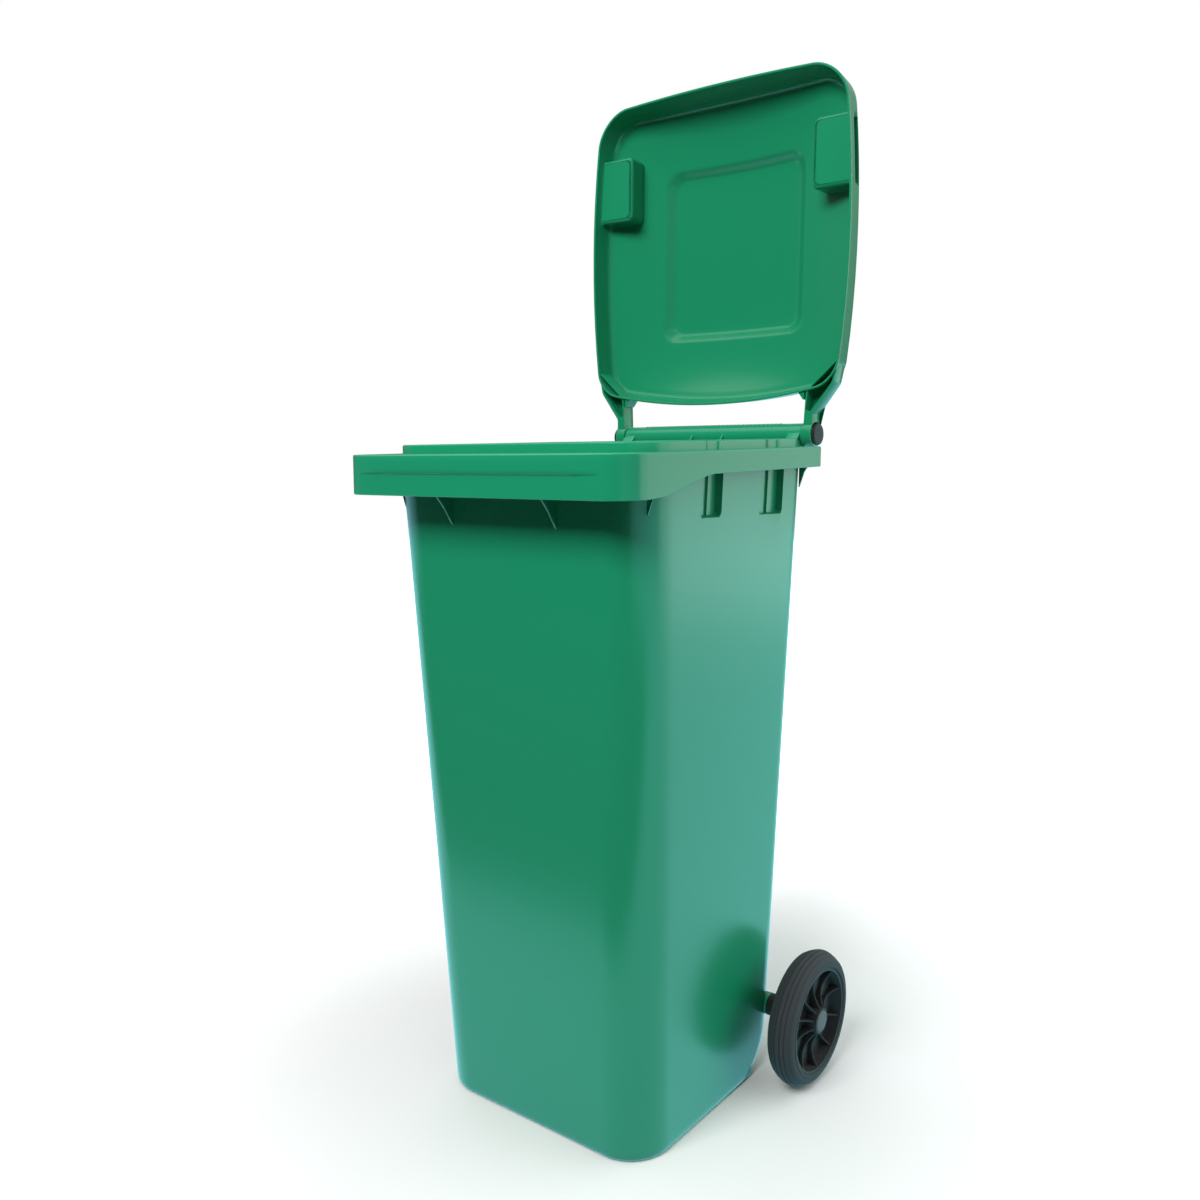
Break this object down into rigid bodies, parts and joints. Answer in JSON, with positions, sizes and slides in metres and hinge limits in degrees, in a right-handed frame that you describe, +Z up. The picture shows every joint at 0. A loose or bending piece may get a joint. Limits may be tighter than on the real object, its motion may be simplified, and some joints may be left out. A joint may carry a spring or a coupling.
{
  "type": "wheeled waste bin",
  "caption": "Tall tapered waste bin on wheels, with a domed lid standing open on a rear hinge, a handle bar behind the rim and a deep front lip for lifting.",
  "frame": {"origin": "the middle of the body's flat base, on the floor", "axes": "+Z up, the front of the bin faces -Y, the hinge, handle and wheels are at +Y, and the hinge axis and the axle lie along X"},
  "size_m": [0.5626, 0.6337, 1.5179],
  "materials": {
    "green_body": "smooth moulded polyethylene with a soft gloss, light scuffs and mould marks",
    "green_lid": "smooth moulded polyethylene with a gate mark in the middle",
    "black_plastic": "satin moulded plastic",
    "black_wheel": "satin moulded plastic with pale rib edges",
    "tyre_rubber": "moulded rubber with fine rings, dusty on the tread",
    "grey_cap": "matt moulded plastic",
    "zinc_steel": "zinc-plated, drawn along the bar"
  },
  "bodies": {
    "bin": {"bin_body": "green_body", "hinge_pin_left": "black_plastic", "hinge_pin_right": "black_plastic", "axle": "zinc_steel", "axle_sleeve_left": "black_plastic", "axle_sleeve_right": "black_plastic", "hub_washer_left": "zinc_steel", "hub_washer_right": "zinc_steel", "push_nut_left": "zinc_steel", "push_nut_right": "zinc_steel"},
    "lid": {"lid": "green_lid"},
    "wheel_left": {"wheel_left": "black_wheel", "tyre_left": "tyre_rubber", "hub_cap_left": "grey_cap"},
    "wheel_right": {"wheel_right": "black_wheel", "tyre_right": "tyre_rubber", "hub_cap_right": "grey_cap"}
  },
  "joints": [
    {"name": "lid_hinge", "type": "hinge", "parent": "bin", "child": "lid", "pos_m": [0, 0.2725, 0.975], "axis": [-1, 0, 0], "range_deg": [-92.8, 178]},
    {"name": "wheel_left_spin", "type": "hinge", "parent": "bin", "child": "wheel_left", "pos_m": [-0.2578, 0.1598, 0.1], "axis": [1, 0, 0], "continuous": true},
    {"name": "wheel_right_spin", "type": "hinge", "parent": "bin", "child": "wheel_right", "pos_m": [0.2578, 0.1598, 0.1], "axis": [1, 0, 0], "continuous": true}
  ]
}
